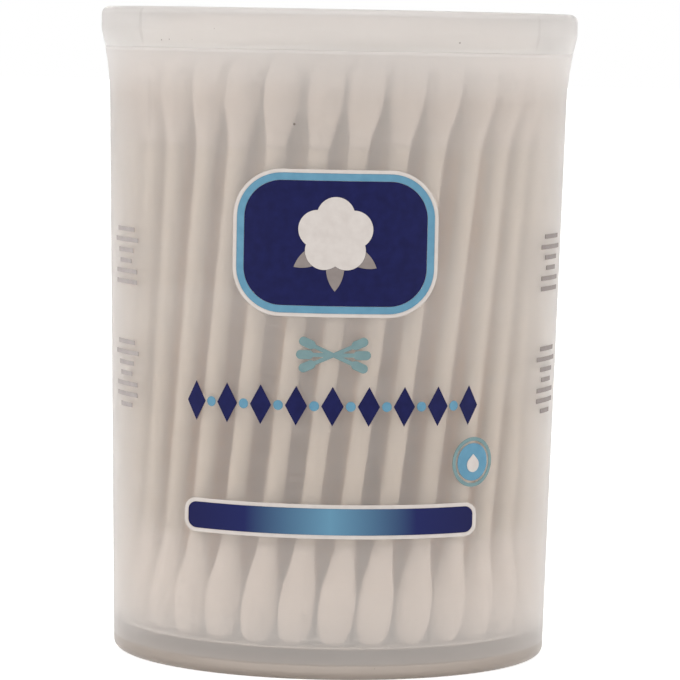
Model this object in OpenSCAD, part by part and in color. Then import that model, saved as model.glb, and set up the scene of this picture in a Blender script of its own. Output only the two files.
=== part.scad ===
// Round tub of cotton swabs in frosted plastic, with a lift-off lid and a print on its front.
// Millimetres, +Z up. The origin is the centre of the base, and the printed front faces -Y.

/* [Tub] */
// Outer radius of the wall, carried down to the base
tub_base_r = 27.3; // [26.9:0.1:28]
// Draft of the wall, which widens upwards (degrees)
wall_draft = 1.25; // [1:0.05:1.5]
// Thickness of the wall
wall_t = 0.75; // [0.6:0.05:0.9]
// Height of the floor's top face above the base
floor_h = 3.5; // [2.8:0.1:4]
// Thickness of the floor
floor_t = 1.9; // [0.8:0.1:2.2]
// Width of the foot ring that the tub stands on
foot_w = 1.6; // [1.3:0.1:2.4]
// Radius of the heel, where the wall turns into the foot
heel_r = 1; // [0.6:0.1:1.2]
// Radius of the round inside, between the floor and the wall
inner_round = 1.5; // [0.5:0.1:1.8]
// Height over which the wall flares out to the shoulder
flare_h = 6; // [4:0.5:9]
// Width of the shoulder's ledge outside the neck
ledge_w = 0.55; // [0.3:0.05:0.7]
// Radius of the gate mark, a shallow dimple where the plastic ran in
gate_r = 2.4; // [1.5:0.1:3]
// Depth of the gate mark, under the floor and on the lid's panel
gate_depth = 0.25; // [0.1:0.05:0.35]

/* [Lid] */
// Thickness of the lid's panel and rim
lid_t = 0.8; // [0.6:0.05:1.1]
// Height of the lid's skirt
skirt_h = 4.9; // [4.2:0.1:5.6]
// Thickness of the skirt at its lower edge
skirt_t = 0.4; // [0.3:0.05:0.6]
// How much the bevel widens the skirt towards the rim
skirt_bevel = 0.5; // [0.3:0.05:0.7]
// Height of the bevel
bevel_h = 2.2; // [1.6:0.1:2.6]
// Radius of the lid's outer top edge
rim_round = 1; // [0.5:0.1:1.3]
// Width of the rim, from the neck's outside to the dished panel
rim_w = 4.2; // [3.6:0.1:5]
// Depth of the dished panel below the rim
dish_depth = 3.5; // [3.2:0.1:4]
// Radius of the round at the dish's mouth
dish_round = 0.3; // [0.2:0.05:0.35]

/* [Swabs] */
// Length of a swab
swab_len = 73; // [70:0.5:76]
// Diameter of a paper stem
stem_d = 2.35; // [2:0.05:2.6]
// Largest diameter of a cotton tip
tip_d = 4.45; // [4:0.05:4.6]
// Length of a lower cotton tip
lower_tip_len = 12.8; // [11:0.1:15]
// Length of an upper cotton tip
upper_tip_len = 11.4; // [10:0.1:14]
// Distance from a tip's end to its widest place
tip_widest = 4.6; // [4:0.1:5.5]
// Cotton between the stem's end and the tip's end
tip_pad = 2.4; // [1.5:0.1:3]
// Turn of the bundle about its axis from foot to head (degrees)
bundle_twist = 19.2; // [8:0.2:20]
// Turn of the outer ring at the floor (degrees)
ring_phase = 0.8; // [0:0.1:11]
// Largest difference in length between two swabs
len_spread = 0.5; // [0:0.05:0.8]

/* [Print] */
// Height of the badge's centre
badge_z = 53; // [50:0.5:56]
// Width of the badge's panel
badge_w = 22; // [18:0.5:24]
// Height of the badge's panel
badge_h = 15; // [12:0.5:16]
// Corner radius of the badge's panel
badge_corner = 4.5; // [2:0.5:5.5]
// Width of the badge's border
border_w = 0.9; // [0.5:0.1:1.2]
// Width of a pale outline
keyline_w = 0.45; // [0.3:0.05:0.7]
// Radius of one round lobe of the cotton flower
lobe_r = 2.3; // [1.6:0.1:2.6]
// Height of the small picture of crossed swabs
picture_z = 39.6; // [38.5:0.1:40]
// Length of a swab in the small picture
picture_len = 9; // [6:0.5:9.5]
// Height of the title row
title_z = 33.4; // [32.8:0.1:34]
// Height of a lozenge in the title row
lozenge_h = 4.8; // [3:0.2:4.8]
// Width of a lozenge in the title row
lozenge_w = 2.7; // [2:0.1:3]
// Angle from one lozenge to the next (degrees)
lozenge_pitch = 9; // [8:0.5:9.5]
// Height of the strip's centre
strip_z = 19.4; // [18:0.2:20]
// Height of the strip
strip_h = 3.2; // [2:0.2:3.6]
// Width of the strip, as seen from the front
strip_w = 34.6; // [28:0.2:37]
// Corner radius of the strip
strip_corner = 1; // [0.4:0.1:1.4]
// Height of the roundel's centre
roundel_z = 26.4; // [26:0.1:27]
// Angle from the front to the roundel (degrees)
roundel_az = 38; // [34:1:44]
// Radius of the roundel's disc
roundel_r = 2.3; // [1.6:0.1:2.5]
// Height of one bar of the side blocks
bar_h = 0.55; // [0.3:0.05:0.7]
// Step from one bar to the next
bar_step = 1.3; // [1:0.1:1.6]

/* [Clearances] */
// Between the neck and the lid's skirt
lid_gap = 0.15; // [0.1:0.01:0.25]
// Between the neck's top and the rim of the lid that sits on it
seat_gap = 0.05; // [0.02:0.01:0.1]
// Open seam between the skirt and the shoulder
seam_gap = 0.08; // [0.05:0.01:0.3]
// Between the tallest swab and the lid's panel
headroom = 0.2; // [0.1:0.05:0.5]
// Between the outer swabs and the wall
wall_gap = 0.15; // [0.1:0.01:0.2]
// Between the rings of swabs
ring_gap = 0.11; // [0.08:0.01:0.12]
// Least room left between two swabs of a ring
side_gap = 0.25; // [0.18:0.01:0.28]
// Between a cotton tip and the floor
rest_gap = 0.02; // [0.01:0.01:0.05]
// Between a stem and the cotton on it
stem_gap = 0.02; // [0.01:0.01:0.04]
// Thickness of a layer of ink
ink_t = 0.05; // [0.04:0.01:0.08]
// Between the wall and the ink, and between two layers of it
ink_gap = 0.02; // [0.01:0.01:0.04]

/* [Hidden] */
$fn = 96;

FROSTED = [0.86, 0.84, 0.83];
PAPER = [0.90, 0.87, 0.83];
COTTON = [0.97, 0.96, 0.95];
NAVY = [0.10, 0.12, 0.36];
LIGHT_BLUE = [0.42, 0.62, 0.72];
TEAL_GREY = [0.48, 0.60, 0.62];
TAUPE = [0.58, 0.54, 0.53];
PALE = [0.92, 0.90, 0.88];

// Heights that stack up from the floor: the swabs, the panel over them, the rim and the skirt
panel_under_z = floor_h + swab_len + headroom;
panel_top_z = panel_under_z + lid_t;
lid_top_z = panel_top_z + dish_depth;
rim_under_z = lid_top_z - lid_t;
neck_top_z = rim_under_z - seat_gap;
skirt_low_z = lid_top_z - skirt_h;
ledge_z = skirt_low_z - seam_gap;

// Radii that follow the wall
function wall_r(z) = tub_base_r + z * tan(wall_draft);
function inner_r(z) = wall_r(z) - wall_t;
neck_r = wall_r(ledge_z);
shoulder_r = neck_r + ledge_w;
skirt_in_r = neck_r + lid_gap;
skirt_low_r = skirt_in_r + skirt_t;
rim_r = skirt_low_r + skirt_bevel;
dish_r = neck_r - rim_w;

// A short arc about [cx, cy], as points from one angle to the other
ARC_STEPS = 8;
function arc(cx, cy, r, from, to) =
    [for (i = [0:ARC_STEPS]) let (a = from + (to - from) * i / ARC_STEPS) [cx + r * cos(a), cy + r * sin(a)]];

// A gate mark in a face at height z, from the axis outwards: a low nub in a shallow cone that is sunk
// into the plastic, upwards for way = 1 and downwards for way = -1
NUB_R = 0.5;
NUB_DRAFT = 0.1;
NUB_DEPTH = 0.4 * gate_depth;
function gate_mark(z, way) = [
    [0, z + way * NUB_DEPTH], [NUB_R, z + way * NUB_DEPTH],
    [NUB_R + NUB_DRAFT, z + way * gate_depth], [gate_r, z]
];
function backwards(points) = [for (i = [len(points) - 1:-1:0]) points[i]];

// The wall's flare: a quarter wave from the drafted wall out to the shoulder
FLARE_STEPS = 10;
function flare_r(z) =
    let (t = (z - ledge_z + flare_h) / flare_h)
    wall_r(z) + (shoulder_r - neck_r) * (1 - cos(90 * t));

function tub_outside() = concat(
    arc(wall_r(heel_r) - heel_r, heel_r, heel_r, -90, 0),
    [for (i = [0:FLARE_STEPS]) let (z = ledge_z - flare_h + flare_h * i / FLARE_STEPS) [flare_r(z), z]],
    [[neck_r, ledge_z]]
);
// The neck's lip is rounded over nearly its full thickness
LIP_FLAT = 0.04;
lip_r = (wall_t - LIP_FLAT) / 2;
function tub_inside() = concat(
    arc(neck_r - lip_r, neck_top_z - lip_r, lip_r, 0, 90),
    arc(inner_r(ledge_z) + lip_r, neck_top_z - lip_r, lip_r, 90, 180),
    [[inner_r(ledge_z), ledge_z]],
    arc(inner_r(floor_h) - inner_round, floor_h + inner_round, inner_round, 0, -90),
    [[0, floor_h]],
    gate_mark(floor_h - floor_t, 1),
    [[wall_r(0) - foot_w, floor_h - floor_t], [wall_r(0) - foot_w, 0]]
);

module tub() {
    color(FROSTED)
        rotate_extrude()
            polygon(concat(tub_outside(), tub_inside()));
}

module lid() {
    color(FROSTED)
        rotate_extrude()
            polygon(concat(
                [[skirt_in_r, skirt_low_z], [skirt_low_r, skirt_low_z], [rim_r, skirt_low_z + bevel_h]],
                arc(rim_r - rim_round, lid_top_z - rim_round, rim_round, 0, 90),
                arc(dish_r + dish_round, lid_top_z - dish_round, dish_round, 90, 180),
                arc(dish_r - dish_round, panel_top_z + dish_round, dish_round, 0, -90),
                backwards(gate_mark(panel_top_z, -1)),
                [[0, panel_under_z], [dish_r + lid_t, panel_under_z]],
                [[dish_r + lid_t, rim_under_z], [skirt_in_r, rim_under_z]]
            ));
}

// Rings of the bundle, counted from the wall inwards: ring 0 stands along the wall, as many rings
// follow as fit, and the last number is the middle swab alone
low_ring_r = inner_r(floor_h + tip_widest) - tip_d / 2 - wall_gap;
top_ring_r = inner_r(floor_h + swab_len - tip_widest) - tip_d / 2 - wall_gap;
widening = top_ring_r / low_ring_r;
ring_pitch = tip_d + ring_gap;
middle = floor(low_ring_r / ring_pitch);
function ring_r(ring) = ring == middle ? 0 : low_ring_r - ring * ring_pitch;
function ring_count(ring) = ring == middle ? 1 : floor(180 / asin((tip_d + side_gap) / (2 * ring_r(ring))));

// The four rings nearest the wall are nodes of their own, and what stands inside them is the core
CORE_FROM = 4;
core = [for (ring = [CORE_FROM:middle]) ring];

// A repeatable scatter from -1 to 1 for each swab of a ring
SCATTER_STEP = 137.5;
SALT_STEP = 71;
function scatter(ring, i, salt) = sin(SCATTER_STEP * (i + 1) * (CORE_FROM + 1 - ring + salt) + SALT_STEP * salt);

// Angles of swab i at the floor and at the mouth, counted from the front, -Y, towards +X.
// A swab is shifted along its ring by up to a share of the room beside it, and twice that at the mouth.
RING_TURN = 29;
SHIFT_SHARE = 0.4;
function shift_az(ring) = SHIFT_SHARE * side_gap * 180 / PI / max(ring_r(ring), 1);
function even_angle(ring, i) = ring_phase + RING_TURN * ring + 360 * i / ring_count(ring);
function low_angle(ring, i) = even_angle(ring, i) + shift_az(ring) * scatter(ring, i, 1);
function top_angle(ring, i) = even_angle(ring, i) + bundle_twist + 2 * shift_az(ring) * scatter(ring, i, 2);
function swab_length(ring, i) = swab_len - len_spread * (0.5 + 0.5 * scatter(ring, i, 3));

// Puts what stands on the origin where swab i of a ring stands, leaning as it leans
module at_swab(ring, i) {
    low = ring_r(ring) * [sin(low_angle(ring, i)), -cos(low_angle(ring, i))];
    top = ring_r(ring) * widening * [sin(top_angle(ring, i)), -cos(top_angle(ring, i))];
    lean = top - low;
    tilt = asin(norm(lean) / swab_length(ring, i));
    translate([low[0], low[1], floor_h + rest_gap])
        rotate([0, tilt, norm(lean) > 0 ? atan2(lean[1], lean[0]) : 0])
            children();
}

// Outline of a cotton tip from its end upwards: a blunt dome to the widest place, then a taper to the stem
DOME_STEPS = 6;
TAPER_STEPS = 7;
DOME_POWER = 2.2;
TAPER_POWER = 1.15;
COTTON_EDGE = 0.08;
tip_neck_r = stem_d / 2 + stem_gap + COTTON_EDGE;
function dome_point(t) =
    [tip_d / 2 * pow(1 - pow(1 - t, DOME_POWER), 1 / DOME_POWER), tip_widest * t];
function taper_point(t, length) =
    [tip_neck_r + (tip_d / 2 - tip_neck_r) * (0.5 + 0.5 * cos(180 * pow(t, TAPER_POWER))),
     tip_widest + (length - tip_widest) * t];

module cotton_tip(length) {
    rotate_extrude()
        polygon(concat(
            [[0, 0]],
            [for (i = [1:DOME_STEPS]) dome_point(pow(i / DOME_STEPS, 2))],
            [for (i = [1:TAPER_STEPS]) taper_point(i / TAPER_STEPS, length)],
            [[stem_d / 2 + stem_gap, length], [stem_d / 2 + stem_gap, tip_pad - stem_gap]],
            [[0, tip_pad - stem_gap]]
        ));
}

module stems(rings) {
    color(PAPER)
        for (ring = rings, i = [0:ring_count(ring) - 1])
            at_swab(ring, i)
                translate([0, 0, tip_pad])
                    cylinder(h = swab_length(ring, i) - 2 * tip_pad, d = stem_d);
}

module lower_tips(rings) {
    color(COTTON)
        for (ring = rings, i = [0:ring_count(ring) - 1])
            at_swab(ring, i)
                cotton_tip(lower_tip_len);
}

module upper_tips(rings) {
    color(COTTON)
        for (ring = rings, i = [0:ring_count(ring) - 1])
            at_swab(ring, i)
                translate([0, 0, swab_length(ring, i)])
                    mirror([0, 0, 1])
                        cotton_tip(upper_tip_len);
}

// A skin of ink round the wall from z1 to z2, in layer 0 on the wall or layer 1 on other ink,
// over the angles from az1 to az2, counted from the front towards +X
module ink_skin(z1, z2, az1, az2, layer) {
    low = ink_gap + layer * (ink_t + ink_gap);
    rotate([0, 0, az1 - 90])
        rotate_extrude(angle = az2 - az1)
            polygon([
                [wall_r(z1) + low, z1], [wall_r(z1) + low + ink_t, z1],
                [wall_r(z2) + low + ink_t, z2], [wall_r(z2) + low, z2]
            ]);
}

// A flat outline about [0, 0], carried straight back onto the wall at height z and angle az. It is cut
// from a skin that reaches past it on all sides: sideways past the strip, which is the widest outline.
SKIN_SIDE = 8.2;
SKIN_MARGIN = 1;
module ink_shape(z, az, half_h, layer) {
    side = asin((strip_w / 2 + FRAME_GAP + keyline_w) / wall_r(strip_z)) + SKIN_SIDE;
    rotate([0, 0, az])
        intersection() {
            ink_skin(z - half_h - SKIN_MARGIN, z + half_h + SKIN_MARGIN, -side, side, layer);
            translate([0, 0, z])
                rotate([90, 0, 0])
                    linear_extrude(height = 2 * tub_base_r)
                        children();
        }
}

module rounded_panel(w, h, r) {
    square([w - 2 * r, h], center = true);
    square([w, h - 2 * r], center = true);
    for (x = [-1, 1], y = [-1, 1])
        translate([x * (w / 2 - r), y * (h / 2 - r)])
            circle(r);
}

module badge_outline(grow) {
    rounded_panel(badge_w + 2 * grow, badge_h + 2 * grow, badge_corner + grow);
}

BADGE_HALF = badge_h / 2 + border_w + keyline_w;
module badge_panel() {
    color(NAVY)
        ink_shape(badge_z, 0, BADGE_HALF, 0)
            badge_outline(0);
}

// Two frames round the panel, each a hair outside the one before
FRAME_GAP = 0.03;
module badge_border() {
    color(LIGHT_BLUE)
        ink_shape(badge_z, 0, BADGE_HALF, 0)
            difference() {
                badge_outline(border_w);
                badge_outline(FRAME_GAP);
            }
}

module badge_keyline() {
    color(PALE)
        ink_shape(badge_z, 0, BADGE_HALF, 0)
            difference() {
                badge_outline(border_w + keyline_w);
                badge_outline(border_w + FRAME_GAP);
            }
}

// An open boll: five round lobes about the middle, over a calyx of three pointed leaves
LOBES = 5;
flower_y = 1;
module boll(grow) {
    translate([0, flower_y])
        for (i = [0:LOBES - 1])
            rotate(90 + 360 * i / LOBES)
                translate([lobe_r, 0])
                    circle(lobe_r + grow);
}

module cotton_flower() {
    color(PALE)
        ink_shape(badge_z, 0, badge_h / 2, 1)
            union() {
                boll(0);
                translate([0, flower_y])
                    circle(lobe_r);
            }
}

// A leaf is the lens between two circles of LEAF_BEND times its length, with one point on the origin
LEAF_BEND = 0.75;
LEAF_LOBES = 2.5;
LEAF_DROP = 1;
module leaf(length) {
    r = length * LEAF_BEND;
    rise = sqrt(r * r - length * length / 4);
    intersection() {
        translate([length / 2, rise])
            circle(r);
        translate([length / 2, -rise])
            circle(r);
    }
}

module flower_calyx() {
    color(TAUPE)
        ink_shape(badge_z, 0, badge_h / 2, 1)
            difference() {
                union()
                    for (a = [-150, -90, -30])
                        translate([0, flower_y - LEAF_DROP])
                            rotate(a)
                                leaf(lobe_r * LEAF_LOBES);
                boll(FRAME_GAP);
            }
}

// A small swab lying along X: a line with two round ends, each two circles joined by a square
TINY_LINE_W = 0.5;
TINY_TIP_R = 0.55;
TINY_TIP_HALF = 0.5;
module tiny_swab(length) {
    tip_x = length / 2 - TINY_TIP_HALF - TINY_TIP_R;
    square([2 * tip_x, TINY_LINE_W], center = true);
    for (x = [-tip_x, tip_x])
        translate([x, 0]) {
            square([2 * TINY_TIP_HALF, 2 * TINY_TIP_R], center = true);
            translate([-TINY_TIP_HALF, 0])
                circle(TINY_TIP_R);
            translate([TINY_TIP_HALF, 0])
                circle(TINY_TIP_R);
        }
}

CROSSING_TURN = 24;
module crossed_swabs() {
    color(TEAL_GREY)
        ink_shape(picture_z, 0, picture_len / 2, 0)
            for (a = [-CROSSING_TURN, 0, CROSSING_TURN])
                rotate(a)
                    tiny_swab(picture_len);
}

// The title row: lozenges on both sides of the middle one, with a dot between each two
LOZENGES = 4;
module title_lozenges() {
    color(NAVY)
        for (i = [-LOZENGES:LOZENGES])
            ink_shape(title_z, i * lozenge_pitch, lozenge_h / 2, 0)
                polygon([[-lozenge_w / 2, 0], [0, -lozenge_h / 2], [lozenge_w / 2, 0], [0, lozenge_h / 2]]);
}

DOT_R = 0.6;
module title_dots() {
    color(LIGHT_BLUE)
        for (i = [-LOZENGES:LOZENGES - 1])
            ink_shape(title_z, (i + 0.5) * lozenge_pitch, DOT_R, 0)
                circle(DOT_R);
}

// The strip follows the wall round, with a pale outline on all four sides
module strip_outline(grow) {
    rounded_panel(strip_w + 2 * grow, strip_h + 2 * grow, strip_corner + grow);
}

module strip_field() {
    color(LIGHT_BLUE)
        ink_shape(strip_z, 0, strip_h / 2, 0)
            strip_outline(0);
}

module strip_keyline() {
    color(PALE)
        ink_shape(strip_z, 0, strip_h / 2 + FRAME_GAP + keyline_w, 0)
            difference() {
                strip_outline(FRAME_GAP + keyline_w);
                strip_outline(FRAME_GAP);
            }
}

module roundel_disc() {
    color(LIGHT_BLUE)
        ink_shape(roundel_z, roundel_az, roundel_r, 0)
            circle(roundel_r);
}

RING_GAP = 0.3;
module roundel_ring() {
    outer = roundel_r + RING_GAP + keyline_w;
    color(TEAL_GREY)
        ink_shape(roundel_z, roundel_az, outer, 0)
            difference() {
                circle(outer);
                circle(roundel_r + RING_GAP);
            }
}

// A drop: a circle with a square corner for its point, a little below the roundel's centre
DROP_SHARE = 0.4;
DROP_SINK = 0.35;
module roundel_drop() {
    r = roundel_r * DROP_SHARE;
    color(PALE)
        ink_shape(roundel_z, roundel_az, roundel_r, 1)
            translate([0, -r * DROP_SINK])
                union() {
                    circle(r);
                    rotate(45)
                        square(r);
                }
}

// Short bars in blocks on the sides, where small print would stand: [height of the top bar, how many].
// Their lengths vary as those of lines of words do.
LEFT_AZ = -66;
RIGHT_AZ = 71;
SIDE_BLOCKS = [[53.5, 6], [39.5, 7]];
BAR_HALF = 5.5;
BAR_SPREAD = 2;
BAR_STEP = 100;
function bar_half(i) = BAR_HALF + BAR_SPREAD * sin(BAR_STEP * i);
module side_bars(az) {
    for (block = SIDE_BLOCKS, i = [0:block[1] - 1])
        let (z = block[0] - i * bar_step)
            ink_skin(z - bar_h / 2, z + bar_h / 2, az - bar_half(i), az + bar_half(i), 0);
}

module left_bars() {
    color(TAUPE)
        side_bars(LEFT_AZ);
}

module right_bars() {
    color(TAUPE)
        side_bars(RIGHT_AZ);
}

tub();
lid();
stems(core);  // core_stems
stems([3]);  // stems_ring_2
stems([2]);  // stems_ring_3
stems([1]);  // stems_ring_4
stems([0]);  // stems_ring_5
lower_tips(core);  // core_lower_tips
lower_tips([3]);  // lower_tips_ring_2
lower_tips([2]);  // lower_tips_ring_3
lower_tips([1]);  // lower_tips_ring_4
lower_tips([0]);  // lower_tips_ring_5
upper_tips(core);  // core_upper_tips
upper_tips([3]);  // upper_tips_ring_2
upper_tips([2]);  // upper_tips_ring_3
upper_tips([1]);  // upper_tips_ring_4
upper_tips([0]);  // upper_tips_ring_5
badge_panel();
badge_border();
badge_keyline();
cotton_flower();
flower_calyx();
crossed_swabs();
title_lozenges();
title_dots();
strip_field();
strip_keyline();
roundel_disc();
roundel_ring();
roundel_drop();
left_bars();
right_bars();
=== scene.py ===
# %% [markdown]
# # A frosted tub of cotton swabs
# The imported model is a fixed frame: its nodes give every piece its place and size.
# This script dresses them. The plastic, the paper, the cotton and the inks each get a cell of their own.

import bmesh
import bpy
import numpy as np
from mathutils import Matrix, Vector


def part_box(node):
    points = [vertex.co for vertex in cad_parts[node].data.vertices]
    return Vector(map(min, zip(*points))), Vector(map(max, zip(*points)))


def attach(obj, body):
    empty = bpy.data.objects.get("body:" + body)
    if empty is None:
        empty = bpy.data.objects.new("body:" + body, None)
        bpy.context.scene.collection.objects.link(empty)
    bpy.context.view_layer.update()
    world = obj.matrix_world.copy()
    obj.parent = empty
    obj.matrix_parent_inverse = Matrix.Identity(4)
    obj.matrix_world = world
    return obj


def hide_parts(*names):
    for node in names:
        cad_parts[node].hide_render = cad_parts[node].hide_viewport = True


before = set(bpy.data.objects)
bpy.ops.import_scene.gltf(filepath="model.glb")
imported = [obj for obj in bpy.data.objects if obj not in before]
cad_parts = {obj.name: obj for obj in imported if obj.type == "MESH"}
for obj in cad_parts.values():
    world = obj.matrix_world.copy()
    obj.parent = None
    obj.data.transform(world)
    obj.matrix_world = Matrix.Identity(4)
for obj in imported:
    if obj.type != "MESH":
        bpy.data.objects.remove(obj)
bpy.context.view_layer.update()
MM = 0.001

# %% [markdown]
# ## The camera
# The photograph was taken with a long lens from about half a metre, nearly level with the lid.
# The place and the lens come from the ellipses of the base and the lid and from the real size of a swab.
# The camera is turned a little to the side, so that the tub stands left of the middle, and rolled a
# little, because the tub leans in the picture.

# %% Set up the camera
CAMERA_BACK = 500.6 * MM
CAMERA_UP = 77.8 * MM
LENS_MM = 209.2
SENSOR_MM = 36.0
NEAREST = 10 * MM
PITCH_DOWN = np.radians(4.4)
YAW_RIGHT = np.radians(0.0914)
ROLL = np.radians(1.09)

camera_data = bpy.data.cameras.new("camera")
camera_data.lens = LENS_MM
camera_data.sensor_width = SENSOR_MM
camera_data.clip_start = NEAREST
camera = bpy.data.objects.new("camera", camera_data)
bpy.context.scene.collection.objects.link(camera)
turn = Matrix.Rotation(-YAW_RIGHT, 4, "Z") @ Matrix.Rotation(np.pi / 2 - PITCH_DOWN, 4, "X")
camera.matrix_world = Matrix.Translation((0, -CAMERA_BACK, CAMERA_UP)) @ turn @ Matrix.Rotation(ROLL, 4, "Z")
bpy.context.scene.camera = camera
print("camera", round(CAMERA_BACK / MM), "mm in front")

# %% [markdown]
# ## Colours and nodes
# Colours are written as they look on a screen and turned to linear light once. A material is a handful of
# nodes, and one small function adds a node with its settings and links.


# %% Helpers for materials
def linear(colour):
    """An sRGB hex colour such as "#c8beb2" as linear light with alpha 1."""
    parts = np.array([int(colour[i : i + 2], 16) for i in (1, 3, 5)]) / 255
    light = np.where(parts <= 0.04045, parts / 12.92, ((parts + 0.055) / 1.055) ** 2.4)
    return (*light.tolist(), 1.0)


def set_stops(ramp, stops):
    """Fills a colour ramp from a list of (position, value). A value is a number or a hex colour."""
    while len(ramp.elements) < len(stops):
        ramp.elements.new(0.5)
    for element, (position, value) in zip(ramp.elements, stops):
        element.position = position
        element.color = linear(value) if isinstance(value, str) else (value, value, value, 1.0)


def add_node(tree, kind, links=None, stops=None, **settings):
    """Adds a node to a tree.

    links gives its inputs a value or an output to read, stops fill its colour ramp, and settings are its
    own properties."""
    made = tree.nodes.new(kind)
    for name, value in settings.items():
        setattr(made, name, value)
    if stops:
        set_stops(made.color_ramp, stops)
    for name, value in (links or {}).items():
        if isinstance(value, bpy.types.NodeSocket):
            tree.links.new(value, made.inputs[name])
        else:
            made.inputs[name].default_value = value
    return made


def new_material(name):
    """An empty material, its node tree and its output node."""
    material = bpy.data.materials.new(name)
    material.use_nodes = True
    material.node_tree.nodes.clear()
    output = add_node(material.node_tree, "ShaderNodeOutputMaterial")
    return material, material.node_tree, output


def by_height(tree, height, stops):
    """Follows the height in metres, from a list of (height in mm, value).

    A value is a number or a hex colour. The share of the way from the lowest height to the highest,
    (z - low) / (high - low), reads a colour ramp."""
    low, high = stops[0][0], stops[-1][0]
    links = {"Value": height, "From Min": low * MM, "From Max": high * MM}
    share = add_node(tree, "ShaderNodeMapRange", links)
    shares = [((at - low) / (high - low), value) for at, value in stops]
    ramp = add_node(tree, "ShaderNodeValToRGB", {"Fac": share.outputs["Result"]}, shares)
    return ramp.outputs["Color"]


def surface_with_film(tree, surface, tint, output):
    """Shadow rays pass the material as a clear film of this tint, and all other rays meet its surface."""
    path = add_node(tree, "ShaderNodeLightPath")
    film = add_node(tree, "ShaderNodeBsdfTransparent", {"Color": tint})
    links = {0: path.outputs["Is Shadow Ray"], 1: surface.outputs[0], 2: film.outputs[0]}
    choice = add_node(tree, "ShaderNodeMixShader", links)
    tree.links.new(choice.outputs[0], output.inputs["Surface"])


def wear(piece, material):
    """Gives a piece this material and no other."""
    piece.data.materials.clear()
    piece.data.materials.append(material)


# %% [markdown]
# ## Frosted polypropylene
# The tub and the lid are moulded in natural polypropylene: milky, warm and satin. What touches the wall
# shows nearly sharp through it, and what stands a few millimetres off is blurred. A rough transmitting
# surface does just that, and the part of it that isn't transmitting gives the milky haze.
# Lamps can't find their way through rough plastic in a path tracer, so shadow rays pass it as a tinted
# clear film, which lights the swabs inside. The film is dark at the foot, where light has to pass the
# floor and the ring under it.
# The wall is milkiest at its foot and under the lid, where the swabs show only faintly, so its clearness
# follows the height, as its colour and the film's tint do. The colour darkens below 2.1 mm: painted shade on
# the heel.
# The real tub has been handled: it has flow marks, rubs, fine scratches and a few specks of dirt. A painted
# highlight runs along the edges that meet at its seam, and a few faint upright dark lines are painted shade.
# Each is a pattern that takes away some of the clearness.

# %% Marks on the plastic
SOLID_PART = 0.5


def streaks(tree, place, scale, start, end):
    """Thin marks: noise squeezed by scale, in waves per metre, is 0 up to start and 1 from end on."""
    squeezed = add_node(tree, "ShaderNodeMapping", {"Vector": place, "Scale": scale})
    links = {"Vector": squeezed.outputs["Vector"], "Scale": 1.0, "Detail": 3.0}
    noise = add_node(tree, "ShaderNodeTexNoise", links)
    links = {"Value": noise.outputs["Fac"], "From Min": start, "From Max": end}
    return add_node(tree, "ShaderNodeMapRange", links).outputs["Result"]


def specks(tree, place, spots):
    """Up to 1 on small spots, 0 elsewhere. A spot is (x, y, z, half width, half height, strength) in mm.

    Distances are measured after z is scaled by half width / half height, which makes a ball an oval. A spot
    keeps its full strength over the inner half of its width."""
    marks = 0.0
    for x, y, z, half_width, half_height, strength in spots:
        squash = half_width / half_height
        links = {0: place, 1: (1.0, 1.0, squash)}
        flat = add_node(tree, "ShaderNodeVectorMath", links, operation="MULTIPLY")
        links = {0: flat.outputs[0], 1: (x * MM, y * MM, z * squash * MM)}
        gap = add_node(tree, "ShaderNodeVectorMath", links, operation="DISTANCE")
        links = {
            "Value": gap.outputs["Value"],
            "From Min": half_width * MM,
            "From Max": SOLID_PART * half_width * MM,
            "To Max": strength,
        }
        spot = add_node(tree, "ShaderNodeMapRange", links)
        links = {0: marks, 1: spot.outputs["Result"]}
        marks = add_node(tree, "ShaderNodeMath", links, operation="MAXIMUM").outputs[0]
    return marks


def on_wall(radius, azimuth, z, half_width, half_height=None, strength=1.0):
    """A spot (r sin a, -r cos a, z, ...) on a wall of this radius, with the azimuth a in degrees.

    The azimuth runs from the front towards +X, and all lengths are in mm."""
    turn_by = np.radians(azimuth)
    x, y = float(radius * np.sin(turn_by)), float(-radius * np.cos(turn_by))
    return x, y, z, half_width, half_height or half_width, strength


# Specks and short scuffs, and then a faint upright dark line near each side: painted shade of the dish's wall
# seen through the lid
LID_MARKS = [
    on_wall(29.8, -46.5, 76.9, 0.16),
    on_wall(29.8, -43.8, 77.0, 0.13),
    on_wall(29.9, -30.0, 78.4, 0.14),
    on_wall(29.9, 29.0, 77.2, 0.2),
    on_wall(29.8, -36.6, 77.0, 0.1),
    on_wall(29.8, -35.6, 76.7, 0.12),
    on_wall(29.8, -34.6, 76.9, 0.1),
    on_wall(29.85, -54.0, 78.6, 0.5, 3.4, 0.16),
    on_wall(29.85, 54.3, 78.4, 0.45, 3.0, 0.1),
]
# Two specks, and a faint upright dark line near the left side: painted shade between the swabs behind the
# wall
TUB_MARKS = [
    on_wall(28.78, -10.4, 67.2, 0.2),
    on_wall(27.5, 12.0, 1.5, 0.2),
    on_wall(28.8, -53.0, 69.0, 0.6, 4.5, 0.1),
]
print("marks on the lid:", len(LID_MARKS), "and on the tub:", len(TUB_MARKS))

# %% The plastic
# Polypropylene's index is 1.49. A lower one keeps what lies behind the rough wall nearly sharp
PLASTIC_IOR = 1.2
PLASTIC_ROUGHNESS = 0.3
FLOW_ROUGHNESS = 0.02
# The part of the clearness that each kind of mark takes away
FLOW_LOSS = 0.05
RUB_LOSS = 0.06
SCRATCH_LOSS = 0.1
HIGHLIGHT_LOSS = 0.12
DIRT_AND_SHADE_LOSS = 0.6
# Specks of dirt and the lines of painted shade both darken the plastic towards this colour
DIRT_AND_SHADE = "#8a817c"
GRAIN_DEPTH = 0.05 * MM
# The painted highlight along an edge is whole up to the first distance from its height and gone at the second
HIGHLIGHT_CORE = 0.2 * MM
HIGHLIGHT_REACH = 0.5 * MM


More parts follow.
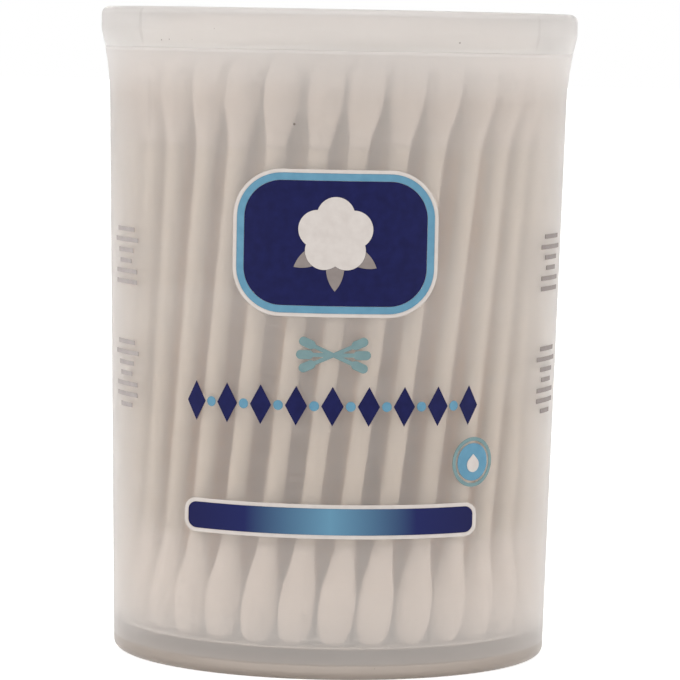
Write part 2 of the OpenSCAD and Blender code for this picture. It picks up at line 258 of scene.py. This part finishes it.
def frosted_plastic(name, colours, clearness, film, spots, seam_highlight):
    """Milky moulded plastic with a fine satin grain.

    colours, clearness and film, the tint of what lights the inside, are lists of (height in mm, value).
    seam_highlight is the height in mm of an edge with a painted highlight along it, a thin pale line."""
    material, tree, output = new_material(name)
    place = add_node(tree, "ShaderNodeTexCoord").outputs["Object"]
    height = add_node(tree, "ShaderNodeSeparateXYZ", {"Vector": place}).outputs["Z"]
    # The mould's satin grain is about 0.05 mm; it is drawn at 0.2 mm so that it shows
    grain = add_node(tree, "ShaderNodeTexNoise", {"Vector": place, "Scale": 5000.0, "Detail": 2.0})
    links = {"Height": grain.outputs["Fac"], "Strength": 0.05, "Distance": GRAIN_DEPTH}
    bump = add_node(tree, "ShaderNodeBump", links)
    # Flow marks run round the wall in bands about 3 mm high, and rubs in lines about 0.3 mm high.
    # Scratches run upright, about 0.4 mm wide and 30 mm long
    flow = streaks(tree, place, (30.0, 30.0, 350.0), 0.3, 0.7)
    rubs = streaks(tree, place, (90.0, 90.0, 3000.0), 0.58, 0.75)
    scratches = streaks(tree, place, (2600.0, 2600.0, 35.0), 0.68, 0.78)
    # A painted highlight: the plastic is milkier in a thin band at the seam's edge
    above = add_node(tree, "ShaderNodeMath", {0: height, 1: seam_highlight * MM}, operation="SUBTRACT")
    gap = add_node(tree, "ShaderNodeMath", {0: above.outputs[0]}, operation="ABSOLUTE")
    links = {"Value": gap.outputs[0], "From Min": HIGHLIGHT_REACH, "From Max": HIGHLIGHT_CORE}
    highlight = add_node(tree, "ShaderNodeMapRange", links).outputs["Result"]
    # Specks of dirt, and upright lines of painted shade
    dirt_and_shade = specks(tree, place, spots)
    losses = [(flow, FLOW_LOSS), (rubs, RUB_LOSS), (scratches, SCRATCH_LOSS), (highlight, HIGHLIGHT_LOSS)]
    clear = by_height(tree, height, clearness)
    for mark, loss in [*losses, (dirt_and_shade, DIRT_AND_SHADE_LOSS)]:
        links = {0: mark, 1: -loss, 2: clear}
        clear = add_node(tree, "ShaderNodeMath", links, operation="MULTIPLY_ADD").outputs[0]
    links = {0: flow, 1: FLOW_ROUGHNESS, 2: PLASTIC_ROUGHNESS}
    rough = add_node(tree, "ShaderNodeMath", links, operation="MULTIPLY_ADD")
    stain_and_shade = add_node(tree, "ShaderNodeValToRGB", {"Fac": dirt_and_shade}, [(0.0, "#ffffff"), (1.0, DIRT_AND_SHADE)])
    links = {0: by_height(tree, height, colours), 1: stain_and_shade.outputs["Color"]}
    tone = add_node(tree, "ShaderNodeVectorMath", links, operation="MULTIPLY")
    links = {
        "Base Color": tone.outputs[0],
        "Roughness": rough.outputs[0],
        "IOR": PLASTIC_IOR,
        "Transmission Weight": clear,
        "Normal": bump.outputs["Normal"],
    }
    plastic = add_node(tree, "ShaderNodeBsdfPrincipled", links)
    surface_with_film(tree, plastic, by_height(tree, height, film), output)
    return material


def shaded_plastic():
    """The same plastic where no light reaches it from behind: plain, matt and grey."""
    material, tree, output = new_material("shaded_polypropylene")
    links = {"Base Color": linear("#a89b91"), "Roughness": 0.8, "Specular IOR Level": 0.1}
    plain = add_node(tree, "ShaderNodeBsdfPrincipled", links)
    tree.links.new(plain.outputs[0], output.inputs["Surface"])
    return material


tub_plastic = frosted_plastic(
    "frosted_polypropylene_tub",
    # Below 2.1 mm the colour is darker: painted shade on the heel
    colours=[
        (0, "#cabfb6"),
        (1.7, "#ccc2b9"),
        (2.1, "#e8e2dd"),
        (64, "#e8e2dd"),
        (70, "#e3ddd8"),
        (76, "#ede9e6"),
    ],
    clearness=[
        (0, 0.62),
        (3.5, 0.62),
        (10, 0.71),
        (20, 0.81),
        (32, 0.82),
        (45, 0.76),
        (58, 0.78),
        (70, 0.72),
        (76, 0.55),
    ],
    film=[(0, "#989089"), (3.2, "#a89f98"), (3.5, "#cac5c1"), (6, "#d9d5d1"), (76, "#d9d5d1")],
    spots=TUB_MARKS,
    seam_highlight=76.0,
)
lid_plastic = frosted_plastic(
    "frosted_polypropylene_lid",
    colours=[(76, "#f3f0ed"), (81, "#f0ece9")],
    clearness=[(76, 0.7), (81, 0.7)],
    film=[(76, "#e8e5e2"), (81, "#e8e5e2")],
    spots=LID_MARKS,
    seam_highlight=76.1,
)
print("plastics:", tub_plastic.name, "and", lid_plastic.name)

# %% [markdown]
# ## The tub and the lid
# Both are turned forms, so each is one profile carried round the axis. The profile repeats the
# drafting of the solids: a drafted wall, a small heel, a flare to the shoulder and a neck for the lid.
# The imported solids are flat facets, and light through frosted plastic would show them, so these
# smooth shells stand for them. Each mesh is a grid of points worked out as whole arrays.


# %% Helpers for meshes
def merge_doubles(mesh, reach=1e-7):
    """Joins points that lie in one place, which closes poles and seams, and turns all faces outwards."""
    work = bmesh.new()
    work.from_mesh(mesh)
    bmesh.ops.remove_doubles(work, verts=work.verts, dist=reach)
    bmesh.ops.dissolve_degenerate(work, edges=work.edges, dist=reach)
    bmesh.ops.recalc_face_normals(work, faces=work.faces)
    work.to_mesh(mesh)
    work.free()


def mesh_piece(name, points, quads):
    """A new smooth object from an array of points in metres and an array of four-sided faces (m, 4)."""
    mesh = bpy.data.meshes.new(name)
    mesh.from_pydata(points.reshape(-1, 3), [], quads)
    mesh.validate()
    piece = bpy.data.objects.new(name, mesh)
    bpy.context.scene.collection.objects.link(piece)
    merge_doubles(mesh)
    mesh.polygons.foreach_set("use_smooth", np.full(len(mesh.polygons), True))
    return piece


def grid_quads(rows, columns, start=0):
    """Faces of a grid of rows by columns points whose last column joins the first one again."""
    row = np.arange(rows - 1)[:, None] * columns
    here = np.arange(columns)[None, :]
    after = (here + 1) % columns
    corners = [row + here, row + after, row + columns + after, row + columns + here]
    return start + np.stack(corners, -1).reshape(-1, 4)


def revolve(name, radius, height, columns=256):
    """Carries a profile round Z: point (i, j) is (r_i sin t_j, -r_i cos t_j, z_i).

    t goes from 0 to a full turn."""
    turn_by = np.linspace(0, 2 * np.pi, columns, endpoint=False)
    across = radius[:, None] * np.sin(turn_by)
    back = -radius[:, None] * np.cos(turn_by)
    up = np.broadcast_to(height[:, None], across.shape)
    return mesh_piece(name, np.stack([across, back, up], -1), grid_quads(len(radius), columns))


def arc(centre_r, centre_z, radius, start, end, steps=8):
    """Points (r, z) on an arc: centre + radius (cos a, sin a), with a from start to end in degrees."""
    a = np.radians(np.linspace(start, end, steps + 1))
    return np.stack([centre_r + radius * np.cos(a), centre_z + radius * np.sin(a)], -1)


# %% The tub
BASE_R = 27.3
DRAFT = np.tan(np.radians(1.25))
WALL = 0.75
FLOOR_TOP = 3.5
FLOOR_UNDER = 1.6
FOOT_WIDTH = 1.6
HEEL = 1.0
LEDGE_Z = 76.02
NECK_TOP = 80.15
FLARE_HEIGHT = 6.0
FLARE = 0.55
INNER_ROUND = 1.5
GATE_R = 2.4
GATE_DEPTH = 0.25
NUB_R = 0.5
NUB_DEPTH = 0.1
LIP_FLAT = 0.02
# Corners that aren't rounded are broken by one of these
BREAK = 0.1
FINE_BREAK = 0.05


def wall_r(z):
    """Outer radius of the drafted wall at height z."""
    return BASE_R + DRAFT * z


def gate_mark(z, way):
    """From the axis outwards, the mark where the plastic ran in: a low nub in a shallow cone, sunk by way."""
    nub_z, cone_z = z + way * NUB_DEPTH, z + way * GATE_DEPTH
    return np.array([[0, nub_z], [NUB_R, nub_z], [NUB_R + BREAK, cone_z], [GATE_R, z], [GATE_R + BREAK, z]])


neck_r = wall_r(LEDGE_Z)
foot_r = wall_r(0) - FOOT_WIDTH
lip_r = WALL / 2 - LIP_FLAT
flare_t = np.linspace(0, 1, 13)
flare_z = LEDGE_Z - FLARE_HEIGHT + FLARE_HEIGHT * flare_t
wall_z = np.linspace(HEEL, LEDGE_Z - FLARE_HEIGHT, 40)[1:-1]
tub_profile = np.concatenate(
    [
        gate_mark(FLOOR_UNDER, 1),
        [[foot_r - BREAK, FLOOR_UNDER], [foot_r, FLOOR_UNDER - BREAK], [foot_r, 0]],
        arc(wall_r(HEEL) - HEEL, HEEL, HEEL, -90, 0),
        np.stack([wall_r(wall_z), wall_z], -1),
        np.stack([wall_r(flare_z) + FLARE * (1 - np.cos(np.pi / 2 * flare_t)), flare_z], -1),
        [[neck_r + FINE_BREAK, LEDGE_Z], [neck_r, LEDGE_Z + FINE_BREAK]],
        arc(neck_r - lip_r, NECK_TOP - lip_r, lip_r, 0, 90),
        arc(neck_r - WALL + lip_r, NECK_TOP - lip_r, lip_r, 90, 180),
        np.stack([wall_r(flare_z[::-1]) - WALL, flare_z[::-1]], -1),
        arc(wall_r(FLOOR_TOP) - WALL - INNER_ROUND, FLOOR_TOP + INNER_ROUND, INNER_ROUND, 0, -90),
        [[0, FLOOR_TOP]],
    ]
)
SHADED_MARGIN = 0.1
SHADED_DEPTH = 0.3


def shade_floor(shell, material):
    """Gives the floor between the swabs the shaded material: it lies in the dark under their tips.

    Its faces lie less than SHADED_DEPTH from the floor's height, and SHADED_MARGIN inside the wall."""
    shell.data.materials.append(material)
    for face in shell.data.polygons:
        inside = np.hypot(face.center.x, face.center.y) < (wall_r(FLOOR_TOP) - WALL - SHADED_MARGIN) * MM
        if inside and abs(face.center.z / MM - FLOOR_TOP) < SHADED_DEPTH:
            face.material_index = 1


tub_shell = revolve("frosted_tub", tub_profile[:, 0] * MM, tub_profile[:, 1] * MM)
wear(tub_shell, tub_plastic)
shade_floor(tub_shell, shaded_plastic())
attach(tub_shell, "tub")
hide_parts("tub")

# %% [markdown]
# ## The lid's profile
# The lid is an overcap: its skirt slips over the neck and stops at the ledge, its rim is round, and its
# middle is a dish with a flat panel. The real seam shows no dark gap. The solid's skirt stops 0.08 mm
# above the ledge, so this one is drawn nearly down to it.

# %% The lid
LID_TOP = 81.0
PANEL_TOP = 77.5
PANEL_UNDER = 76.7
RIM_UNDER = 80.2
SKIRT_LOW = 76.03
SKIRT_IN = neck_r + 0.15
SKIRT_OUT = SKIRT_IN + 0.4
RIM_R = SKIRT_OUT + 0.5
BEVEL = 2.2
RIM_ROUND = 1.0
DISH_R = neck_r - 4.2
DISH_ROUND = 0.3
LID_WALL = 0.8
well_r = DISH_R + LID_WALL
bevel_top = SKIRT_LOW + BEVEL
lid_profile = np.concatenate(
    [
        [[0, PANEL_UNDER], [well_r - BREAK, PANEL_UNDER], [well_r, PANEL_UNDER + BREAK]],
        [[well_r, RIM_UNDER], [SKIRT_IN, RIM_UNDER], [SKIRT_IN, SKIRT_LOW + FINE_BREAK]],
        [[SKIRT_IN + FINE_BREAK, SKIRT_LOW], [SKIRT_OUT - FINE_BREAK, SKIRT_LOW]],
        # The bevel meets the rim in a small facet, 0.3 mm high
        [[SKIRT_OUT, SKIRT_LOW + FINE_BREAK], [RIM_R - 0.04, bevel_top - 0.2], [RIM_R, bevel_top + 0.1]],
        arc(RIM_R - RIM_ROUND, LID_TOP - RIM_ROUND, RIM_ROUND, 0, 90),
        arc(DISH_R + DISH_ROUND, LID_TOP - DISH_ROUND, DISH_ROUND, 90, 180),
        arc(DISH_R - DISH_ROUND, PANEL_TOP + DISH_ROUND, DISH_ROUND, 0, -90),
        gate_mark(PANEL_TOP, -1)[::-1],
    ]
)
lid_shell = revolve("frosted_lid", lid_profile[:, 0] * MM, lid_profile[:, 1] * MM)
wear(lid_shell, lid_plastic)
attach(lid_shell, "lid")
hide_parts("lid")

# %% [markdown]
# ## The swabs
# A swab is a stick of rolled white paper with cotton wool wound on both ends. The frame's stems say
# where each one stands and how it leans. Each island of a stem node's mesh is one stem.


# %% Find the stems in the frame
def islands(node):
    """The points of each separate solid of a CAD node, as a list of arrays.

    Every point starts with a label of its own, and each triangle passes its least label to its corners
    until no label changes."""
    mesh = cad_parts[node].data
    points = np.empty(len(mesh.vertices) * 3)
    mesh.vertices.foreach_get("co", points)
    places, which = np.unique(np.round(points.reshape(-1, 3), 7), axis=0, return_inverse=True)
    mesh.calc_loop_triangles()
    corners = np.empty(len(mesh.loop_triangles) * 3, int)
    mesh.loop_triangles.foreach_get("vertices", corners)
    corners = which.ravel()[corners].reshape(-1, 3)
    label = np.arange(len(places))
    while True:
        least = label[corners].min(1)
        spread = label.copy()
        for k in range(3):
            np.minimum.at(spread, corners[:, k], least)
        if (spread == label).all():
            return [places[label == mark] for mark in np.unique(label)]
        label = spread


def stem_ends(node):
    """The middle of the lower and of the upper end of each stem of a node, as arrays (n, 3)."""
    low, high = [], []
    for points in islands(node):
        upper = points[:, 2] > points[:, 2].mean()
        low.append(points[~upper].mean(0))
        high.append(points[upper].mean(0))
    return np.array(low), np.array(high)


STEM_NODES = ["core_stems", "stems_ring_2", "stems_ring_3", "stems_ring_4", "stems_ring_5"]
LOWER_NODES = [node.replace("stems", "lower_tips") for node in STEM_NODES]
UPPER_NODES = [node.replace("stems", "upper_tips") for node in STEM_NODES]
stems = [stem_ends(node) for node in STEM_NODES]
print("stems in each node:", [len(low) for low, high in stems])

# %% [markdown]
# ## Paper and cotton
# The paper is smooth and slightly warm. The cotton is a soft white body with no gloss: its fibres
# catch light at the edge, which a sheen layer gives, and its wound surface is uneven.
# Light gets inside the bundle by way of paper and cotton only, which colour it at each bounce, more
# bounces than a render follows. So a warm painted shade tints both materials tan in there.

# %% Paper and cotton materials
# Painted warm shade inside the bundle, for light bounced between the swabs
BUNDLE_SHADE_TINT = "#fbd5a4"
# The painted shade begins at the first of each pair and is whole from the second on
INSIDE_R = (22.0 * MM, 21.2 * MM)
INSIDE_TOP = (68.0 * MM, 62.0 * MM)
PAPER_GRAIN = 0.03 * MM
FIBRE_HEIGHT = 0.12 * MM


def with_painted_bundle_shade(tree, place, tone):
    """The tone as it is on the outer swabs and on top, and tinted tan inside the bundle: painted warm shade.
    """
    links = {0: place, 1: (1.0, 1.0, 0.0)}
    flat = add_node(tree, "ShaderNodeVectorMath", links, operation="MULTIPLY")
    from_axis = add_node(tree, "ShaderNodeVectorMath", {0: flat.outputs[0]}, operation="LENGTH")
    height = add_node(tree, "ShaderNodeSeparateXYZ", {"Vector": place})
    links = {"Value": from_axis.outputs["Value"], "From Min": INSIDE_R[0], "From Max": INSIDE_R[1]}
    inside = add_node(tree, "ShaderNodeMapRange", links)
    links = {"Value": height.outputs["Z"], "From Min": INSIDE_TOP[0], "From Max": INSIDE_TOP[1]}
    below = add_node(tree, "ShaderNodeMapRange", links)
    links = {0: inside.outputs["Result"], 1: below.outputs["Result"]}
    both = add_node(tree, "ShaderNodeMath", links, operation="MULTIPLY")
    stops = [(0.0, "#ffffff"), (1.0, BUNDLE_SHADE_TINT)]
    tint = add_node(tree, "ShaderNodeValToRGB", {"Fac": both.outputs[0]}, stops)
    links = {0: tone, 1: tint.outputs["Color"]}
    return add_node(tree, "ShaderNodeVectorMath", links, operation="MULTIPLY").outputs[0]


def rolled_paper():
    """White paper rolled to a stick: matt, with fibres 0.4 mm apart along it and a faint warm tone."""
    material, tree, output = new_material("rolled_white_paper")
    place = add_node(tree, "ShaderNodeTexCoord").outputs["Object"]
    stretch = add_node(tree, "ShaderNodeMapping", {"Vector": place, "Scale": (2500.0, 2500.0, 300.0)})
    links = {"Vector": stretch.outputs["Vector"], "Scale": 1.0, "Detail": 3.0}
    fibre = add_node(tree, "ShaderNodeTexNoise", links)
    stops = [(0.3, "#dad2c6"), (0.7, "#e6dfd4")]
    fibres = add_node(tree, "ShaderNodeValToRGB", {"Fac": fibre.outputs["Fac"]}, stops)
    tone = with_painted_bundle_shade(tree, place, fibres.outputs["Color"])
    links = {"Height": fibre.outputs["Fac"], "Strength": 0.3, "Distance": PAPER_GRAIN}
    bump = add_node(tree, "ShaderNodeBump", links)
    links = {"Base Color": tone, "Roughness": 0.75, "Normal": bump.outputs["Normal"]}
    stick = add_node(tree, "ShaderNodeBsdfPrincipled", links)
    tree.links.new(stick.outputs[0], output.inputs["Surface"])
    return material


def cotton_wool():
    """Bleached cotton wound on a stick: soft, white and without gloss, with fibres about 0.4 mm apart."""
    material, tree, output = new_material("wound_cotton_wool")
    place = add_node(tree, "ShaderNodeTexCoord").outputs["Object"]
    links = {"Vector": place, "Scale": 2600.0, "Detail": 4.0, "Roughness": 0.7}
    fibre = add_node(tree, "ShaderNodeTexNoise", links)
    tuft = add_node(tree, "ShaderNodeTexNoise", {"Vector": place, "Scale": 600.0, "Detail": 2.0})
    stops = [(0.3, "#eee6e0"), (0.7, "#faf4ef")]
    tufts = add_node(tree, "ShaderNodeValToRGB", {"Fac": tuft.outputs["Fac"]}, stops)
    links = {"Height": fibre.outputs["Fac"], "Strength": 0.6, "Distance": FIBRE_HEIGHT}
    bump = add_node(tree, "ShaderNodeBump", links)
    links = {
        "Base Color": with_painted_bundle_shade(tree, place, tufts.outputs["Color"]),
        "Roughness": 0.95,
        "Sheen Weight": 0.25,
        "Sheen Roughness": 0.6,
        "Specular IOR Level": 0.15,
        "Normal": bump.outputs["Normal"],
    }
    soft = add_node(tree, "ShaderNodeBsdfPrincipled", links)
    tree.links.new(soft.outputs[0], output.inputs["Surface"])
    return material


paper = rolled_paper()
wool = cotton_wool()
print("swab materials:", paper.name, "and", wool.name)

# %% [markdown]
# ## Turned shapes along the swabs
# A stick and its tips are turned forms too, but each stands on an axis of its own. So one function carries
# a profile round many axes at once, and the sticks of one node become a single mesh.


# %% The paper sticks
def along(low, high, distance, radius, columns):
    """Points of turned shapes: low + s d + r (u cos t + v sin t), for each swab, each row (s, r) and each t.

    d points from low to high, and u and v stand square on it. distance has the shape (rows,), and radius
    has the shape (rows, 1) or (swabs, rows, columns)."""
    run = high - low
    d = run / np.linalg.norm(run, axis=1, keepdims=True)
    u = np.cross(d, [0.0, 1.0, 0.0])
    u /= np.linalg.norm(u, axis=1, keepdims=True)
    v = np.cross(d, u)
    t = np.linspace(0, 2 * np.pi, columns, endpoint=False)
    ring = np.cos(t)[:, None] * u[:, None, None, :] + np.sin(t)[:, None] * v[:, None, None, :]
    axis = low[:, None, None, :] + distance[:, None, None] * d[:, None, None, :]
    return axis + radius[..., None] * ring


def swab_piece(name, points, node, material):
    """One object from turned shapes (swabs, rows, columns, 3), riding in the tub for a CAD node."""
    swabs, rows, columns, _ = points.shape
    quads = np.concatenate([grid_quads(rows, columns, start=i * rows * columns) for i in range(swabs)])
    piece = mesh_piece(name, points, quads)
    wear(piece, material)
    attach(piece, "tub")
    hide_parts(node)


STEM_R = 2.35 / 2 * MM
STEM_COLUMNS = 14
# A straight stick with slightly rounded ends, as shares of its length and its radius
STEM_ALONG = np.array([0, 0, 0.01, 0.5, 0.99, 1, 1])
STEM_ROUND = np.array([0, 0.9, 1, 1, 1, 0.9, 0])
for (low, high), node in zip(stems, STEM_NODES):
    length = np.linalg.norm(high - low, axis=1).mean()
    sticks = along(low, high, STEM_ALONG * length, (STEM_ROUND * STEM_R)[:, None], STEM_COLUMNS)
    swab_piece(f"paper_{node}", sticks, node, paper)
print("sticks:", sum(len(low) for low, high in stems), "with a radius of", STEM_R / MM, "mm")

# %% [markdown]
# ## Cotton tips
# A tip is a drop: blunt at its end, widest a few millimetres in, and tapering to the stick. Wound by
# machine, no two are quite alike, so each gets shallow lumps of its own. The outer ring is the one that
# shows, so it has more points than the others.

# %% Wind the tips
TIP_R = 4.5 / 2 * MM
LOWER_LENGTH = 12.8 * MM
UPPER_LENGTH = 11.4 * MM
TIP_WIDEST = 4.6 * MM
TIP_PAD = 2.4 * MM
TIP_NECK = STEM_R * 1.06
DOME_POWER = 2.2
TAPER_POWER = 1.15
BIG_LUMP = 0.012
SMALL_LUMP = 0.009
# Columns, rows of the dome and rows of the taper
FINE = (24, 8, 10)
COARSE = (12, 4, 5)
rng = np.random.default_rng(7)


def tip_profile(length, dome_rows, taper_rows):
    """Distance from the tip's end and radius, as two arrays.

    First comes a blunt dome |1 - s/w|^p + (r/R)^p = 1, and then half a wave down to the stem."""
    dome = np.linspace(0, 1, dome_rows + 1) ** 2
    dome_r = TIP_R * (1 - (1 - dome) ** DOME_POWER) ** (1 / DOME_POWER)
    taper = np.linspace(0, 1, taper_rows + 1)[1:]
    taper_r = TIP_NECK + (TIP_R - TIP_NECK) * (0.5 + 0.5 * np.cos(np.pi * taper**TAPER_POWER))
    s = np.concatenate([TIP_WIDEST * dome, TIP_WIDEST + (length - TIP_WIDEST) * taper, [length]])
    return s, np.concatenate([dome_r, taper_r, [0]])


def wound_tips(tip_end, stem_side, length, detail):
    """Cotton tips from their ends towards the stems, each a little lumpy in its own way.

    The lumps are r (1 + a sin(2 t + 5 s + p) + b sin(3 t - 9 s + q)), with phases p and q drawn per tip."""
    columns, dome_rows, taper_rows = detail
    s, r = tip_profile(length, dome_rows, taper_rows)
    t = np.linspace(0, 2 * np.pi, columns, endpoint=False)
    p, q = rng.uniform(0, 2 * np.pi, (2, len(tip_end), 1, 1))
    run = (s / length)[None, :, None]
    lumps = 1 + BIG_LUMP * np.sin(2 * t + 5 * run + p) + SMALL_LUMP * np.sin(3 * t - 9 * run + q)
    return along(tip_end, stem_side, s, r[None, :, None] * lumps, columns)


for (low, high), lower, upper in zip(stems, LOWER_NODES, UPPER_NODES):
    d = (high - low) / np.linalg.norm(high - low, axis=1, keepdims=True)
    foot, head = low - TIP_PAD * d, high + TIP_PAD * d
    detail = FINE if lower == LOWER_NODES[-1] else COARSE
    swab_piece(f"cotton_{lower}", wound_tips(foot, head, LOWER_LENGTH, detail), lower, wool)
    swab_piece(f"cotton_{upper}", wound_tips(head, foot, UPPER_LENGTH, detail), upper, wool)
print("swabs dressed:", sum(len(low) for low, high in stems))

# %% [markdown]
# ## The print
# Each field is a thin skin of matt ink. Screen ink on polypropylene is slightly uneven, so each ink
# varies gently over a millimetre or so. The milky wall blurs the print's shadow inside until it can't
# be seen, so shadow rays pass the ink as a pale film.

# %% Inks
INK_ROUGHNESS = 0.5
INK_GLOSS = 0.12
INK_SHADOW = linear("#e0dcda")


def ink_surface(tree, tone, output):
    """Matt ink of this tone."""
    links = {"Base Color": tone, "Roughness": INK_ROUGHNESS, "Specular IOR Level": INK_GLOSS}
    surface_with_film(tree, add_node(tree, "ShaderNodeBsdfPrincipled", links), INK_SHADOW, output)


def ink(name, colour, darker):
    """Matt screen ink with a slight mottle about 1 mm across."""
    material, tree, output = new_material(name)
    place = add_node(tree, "ShaderNodeTexCoord").outputs["Object"]
    mottle = add_node(tree, "ShaderNodeTexNoise", {"Vector": place, "Scale": 900.0, "Detail": 3.0})
    stops = [(0.3, darker), (0.7, colour)]
    tone = add_node(tree, "ShaderNodeValToRGB", {"Fac": mottle.outputs["Fac"]}, stops)
    ink_surface(tree, tone.outputs["Color"], output)
    return material


def fading_ink():
    """The strip's ink: navy at both ends and light blue in the middle, by its place across the front."""
    material, tree, output = new_material("fading_blue_ink")
    place = add_node(tree, "ShaderNodeTexCoord").outputs["Object"]
    axis = add_node(tree, "ShaderNodeSeparateXYZ", {"Vector": place})
    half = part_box("strip_field")[1][0]
    links = {"Value": axis.outputs["X"], "From Min": -half, "From Max": half}
    across = add_node(tree, "ShaderNodeMapRange", links)
    stops = [(0.0, "#17194a"), (0.2, "#20265a"), (0.5, "#6795b0"), (0.8, "#20265a"), (1.0, "#17194a")]
    tone = add_node(tree, "ShaderNodeValToRGB", {"Fac": across.outputs["Result"]}, stops)
    ink_surface(tree, tone.outputs["Color"], output)
    return material


navy = ink("navy_ink", "#1a1d50", "#151745")
light_blue = ink("light_blue_ink", "#6c9db6", "#6293ad")
teal_grey = ink("teal_grey_ink", "#7f9a9c", "#769194")
taupe = ink("taupe_ink", "#968c88", "#8c827e")
faint = ink("faint_ink", "#b5aca9", "#a89f9d")
pale = ink("pale_ink", "#dcd4ce", "#d3cac4")
INKS = {
    "badge_panel": navy,
    "badge_border": light_blue,
    "badge_keyline": pale,
    "cotton_flower": pale,
    "flower_calyx": taupe,
    "crossed_swabs": teal_grey,
    "title_lozenges": navy,
    "title_dots": light_blue,
    "strip_field": fading_ink(),
    "strip_keyline": pale,
    "roundel_disc": light_blue,
    "roundel_ring": teal_grey,
    "roundel_drop": pale,
    "left_bars": faint,
    "right_bars": taupe,
}
for node, material in INKS.items():
    wear(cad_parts[node], material)
print("inked fields:", len(INKS))

# %% [markdown]
# ## Floor, backdrop and light
# The tub stands on white in the photograph. The floor is white paper, and the camera sees it and the
# world at full white, while the light they give stays at a plain level. Two large soft lamps shape the
# tub a little.

# %% Floor
FLOOR_LIFT = 0.65
FLOOR_HALF = 6.0


def white_floor():
    """Matt white: what the camera and reflections see of it is lifted to white, and shadows stay."""
    material, tree, output = new_material("white_paper_floor")
    path = add_node(tree, "ShaderNodeLightPath")
    matt = add_node(tree, "ShaderNodeBsdfDiffuse", {"Color": linear("#e8e8e8")})
    lift = add_node(tree, "ShaderNodeEmission", {"Color": (1, 1, 1, 1), "Strength": FLOOR_LIFT})
    both = add_node(tree, "ShaderNodeAddShader", {0: matt.outputs[0], 1: lift.outputs[0]})
    links = {0: path.outputs["Is Camera Ray"], 1: path.outputs["Is Glossy Ray"]}
    seen = add_node(tree, "ShaderNodeMath", links, operation="MAXIMUM")
    links = {0: seen.outputs[0], 1: matt.outputs[0], 2: both.outputs[0]}
    choice = add_node(tree, "ShaderNodeMixShader", links)
    tree.links.new(choice.outputs[0], output.inputs["Surface"])
    return material


corners = np.array([[-1, -1, 0], [1, -1, 0], [1, 1, 0], [-1, 1, 0]]) * FLOOR_HALF
floor = mesh_piece("floor", corners, np.array([[0, 1, 2, 3]]))
wear(floor, white_floor())
print("floor", 2 * FLOOR_HALF, "m wide")

# %% World and lamps
WORLD_LIGHT = 0.74
LAMP_SIZE = 0.5
LAMP_TARGET = (0, 0, 0.04)

world = bpy.data.worlds.new("white_studio")
bpy.context.scene.world = world
world.use_nodes = True
sky_tree = world.node_tree
sky_tree.nodes.clear()
path = add_node(sky_tree, "ShaderNodeLightPath")
links = {0: path.outputs["Is Camera Ray"], 1: path.outputs["Is Glossy Ray"]}
seen = add_node(sky_tree, "ShaderNodeMath", links, operation="MAXIMUM")
links = {0: seen.outputs[0], 1: path.outputs["Is Transmission Ray"]}
seen_too = add_node(sky_tree, "ShaderNodeMath", links, operation="MAXIMUM")
links = {"Value": seen_too.outputs[0], "To Min": WORLD_LIGHT, "To Max": 1.0}
level = add_node(sky_tree, "ShaderNodeMapRange", links)
sky = add_node(sky_tree, "ShaderNodeBackground", {"Color": (1, 1, 1, 1), "Strength": level.outputs["Result"]})
add_node(sky_tree, "ShaderNodeOutputWorld", {"Surface": sky.outputs[0]})


def soft_lamp(name, place, watts):
    """A square area lamp that looks from place to the middle of the tub."""
    data = bpy.data.lights.new(name, "AREA")
    data.size = LAMP_SIZE
    data.energy = watts
    lamp = bpy.data.objects.new(name, data)
    bpy.context.scene.collection.objects.link(lamp)
    lamp.location = place
    lamp.rotation_euler = (Vector(LAMP_TARGET) - lamp.location).to_track_quat("-Z", "Y").to_euler()


soft_lamp("key_lamp", (-0.75, -0.45, 0.6), 3.4)
soft_lamp("fill_lamp", (0.85, -0.3, 0.4), 2.6)
print("world at", WORLD_LIGHT, "and two lamps")

# %% [markdown]
# ## Finish
# The view transform stays plain, so that a colour renders about as it is written.

# %% Colour and finish
bpy.context.scene.view_settings.view_transform = "Standard"
